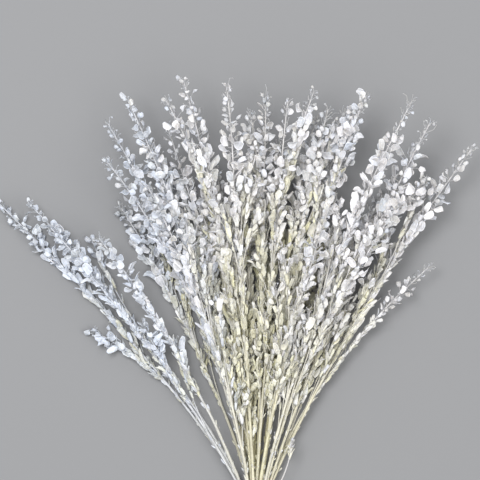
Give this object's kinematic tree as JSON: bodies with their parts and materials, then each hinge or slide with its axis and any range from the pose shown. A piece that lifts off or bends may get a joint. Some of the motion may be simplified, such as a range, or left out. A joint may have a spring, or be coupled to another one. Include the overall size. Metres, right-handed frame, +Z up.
{
  "type": "preserved fern bunch",
  "caption": "Bunch of bleached, preserved stems with small flat oval leaflets on wiry stalks, held by a plain raffia band near the cut ends and lying fanned out on its side",
  "frame": {"origin": "on the surface under the middle of the tie", "axes": "+Y along the stems from the tie to the tips, +Z up from the surface the bunch lies on, +X to the right seen from above with the tips away"},
  "size_m": [0.5414, 0.5999, 0.1113],
  "materials": {
    "bleached_plant": "bleached dry stems and papery leaflets, matt, cool white at the tips and straw coloured near the cut ends",
    "raffia": "dry raffia strips, matt"
  },
  "bodies": {
    "root": {"tie": "raffia", "leafy_stem_01": "bleached_plant", "leafy_stem_02": "bleached_plant", "leafy_stem_03": "bleached_plant", "leafy_stem_04": "bleached_plant", "leafy_stem_05": "bleached_plant", "leafy_stem_06": "bleached_plant", "leafy_stem_07": "bleached_plant", "leafy_stem_08": "bleached_plant", "leafy_stem_09": "bleached_plant", "leafy_stem_10": "bleached_plant", "leafy_stem_11": "bleached_plant", "leafy_stem_12": "bleached_plant", "leafy_stem_13": "bleached_plant", "leafy_stem_14": "bleached_plant", "leafy_stem_15": "bleached_plant", "leafy_stem_16": "bleached_plant", "leafy_stem_17": "bleached_plant", "leafy_stem_18": "bleached_plant", "leafy_stem_19": "bleached_plant", "leafy_stem_20": "bleached_plant", "leafy_stem_21": "bleached_plant", "leafy_stem_22": "bleached_plant", "leafy_stem_23": "bleached_plant", "leafy_stem_24": "bleached_plant", "leafy_stem_25": "bleached_plant", "leafy_stem_26": "bleached_plant", "leafy_stem_27": "bleached_plant", "leafy_stem_28": "bleached_plant", "leafy_stem_29": "bleached_plant", "leafy_stem_30": "bleached_plant"}
  },
  "joints": []
}
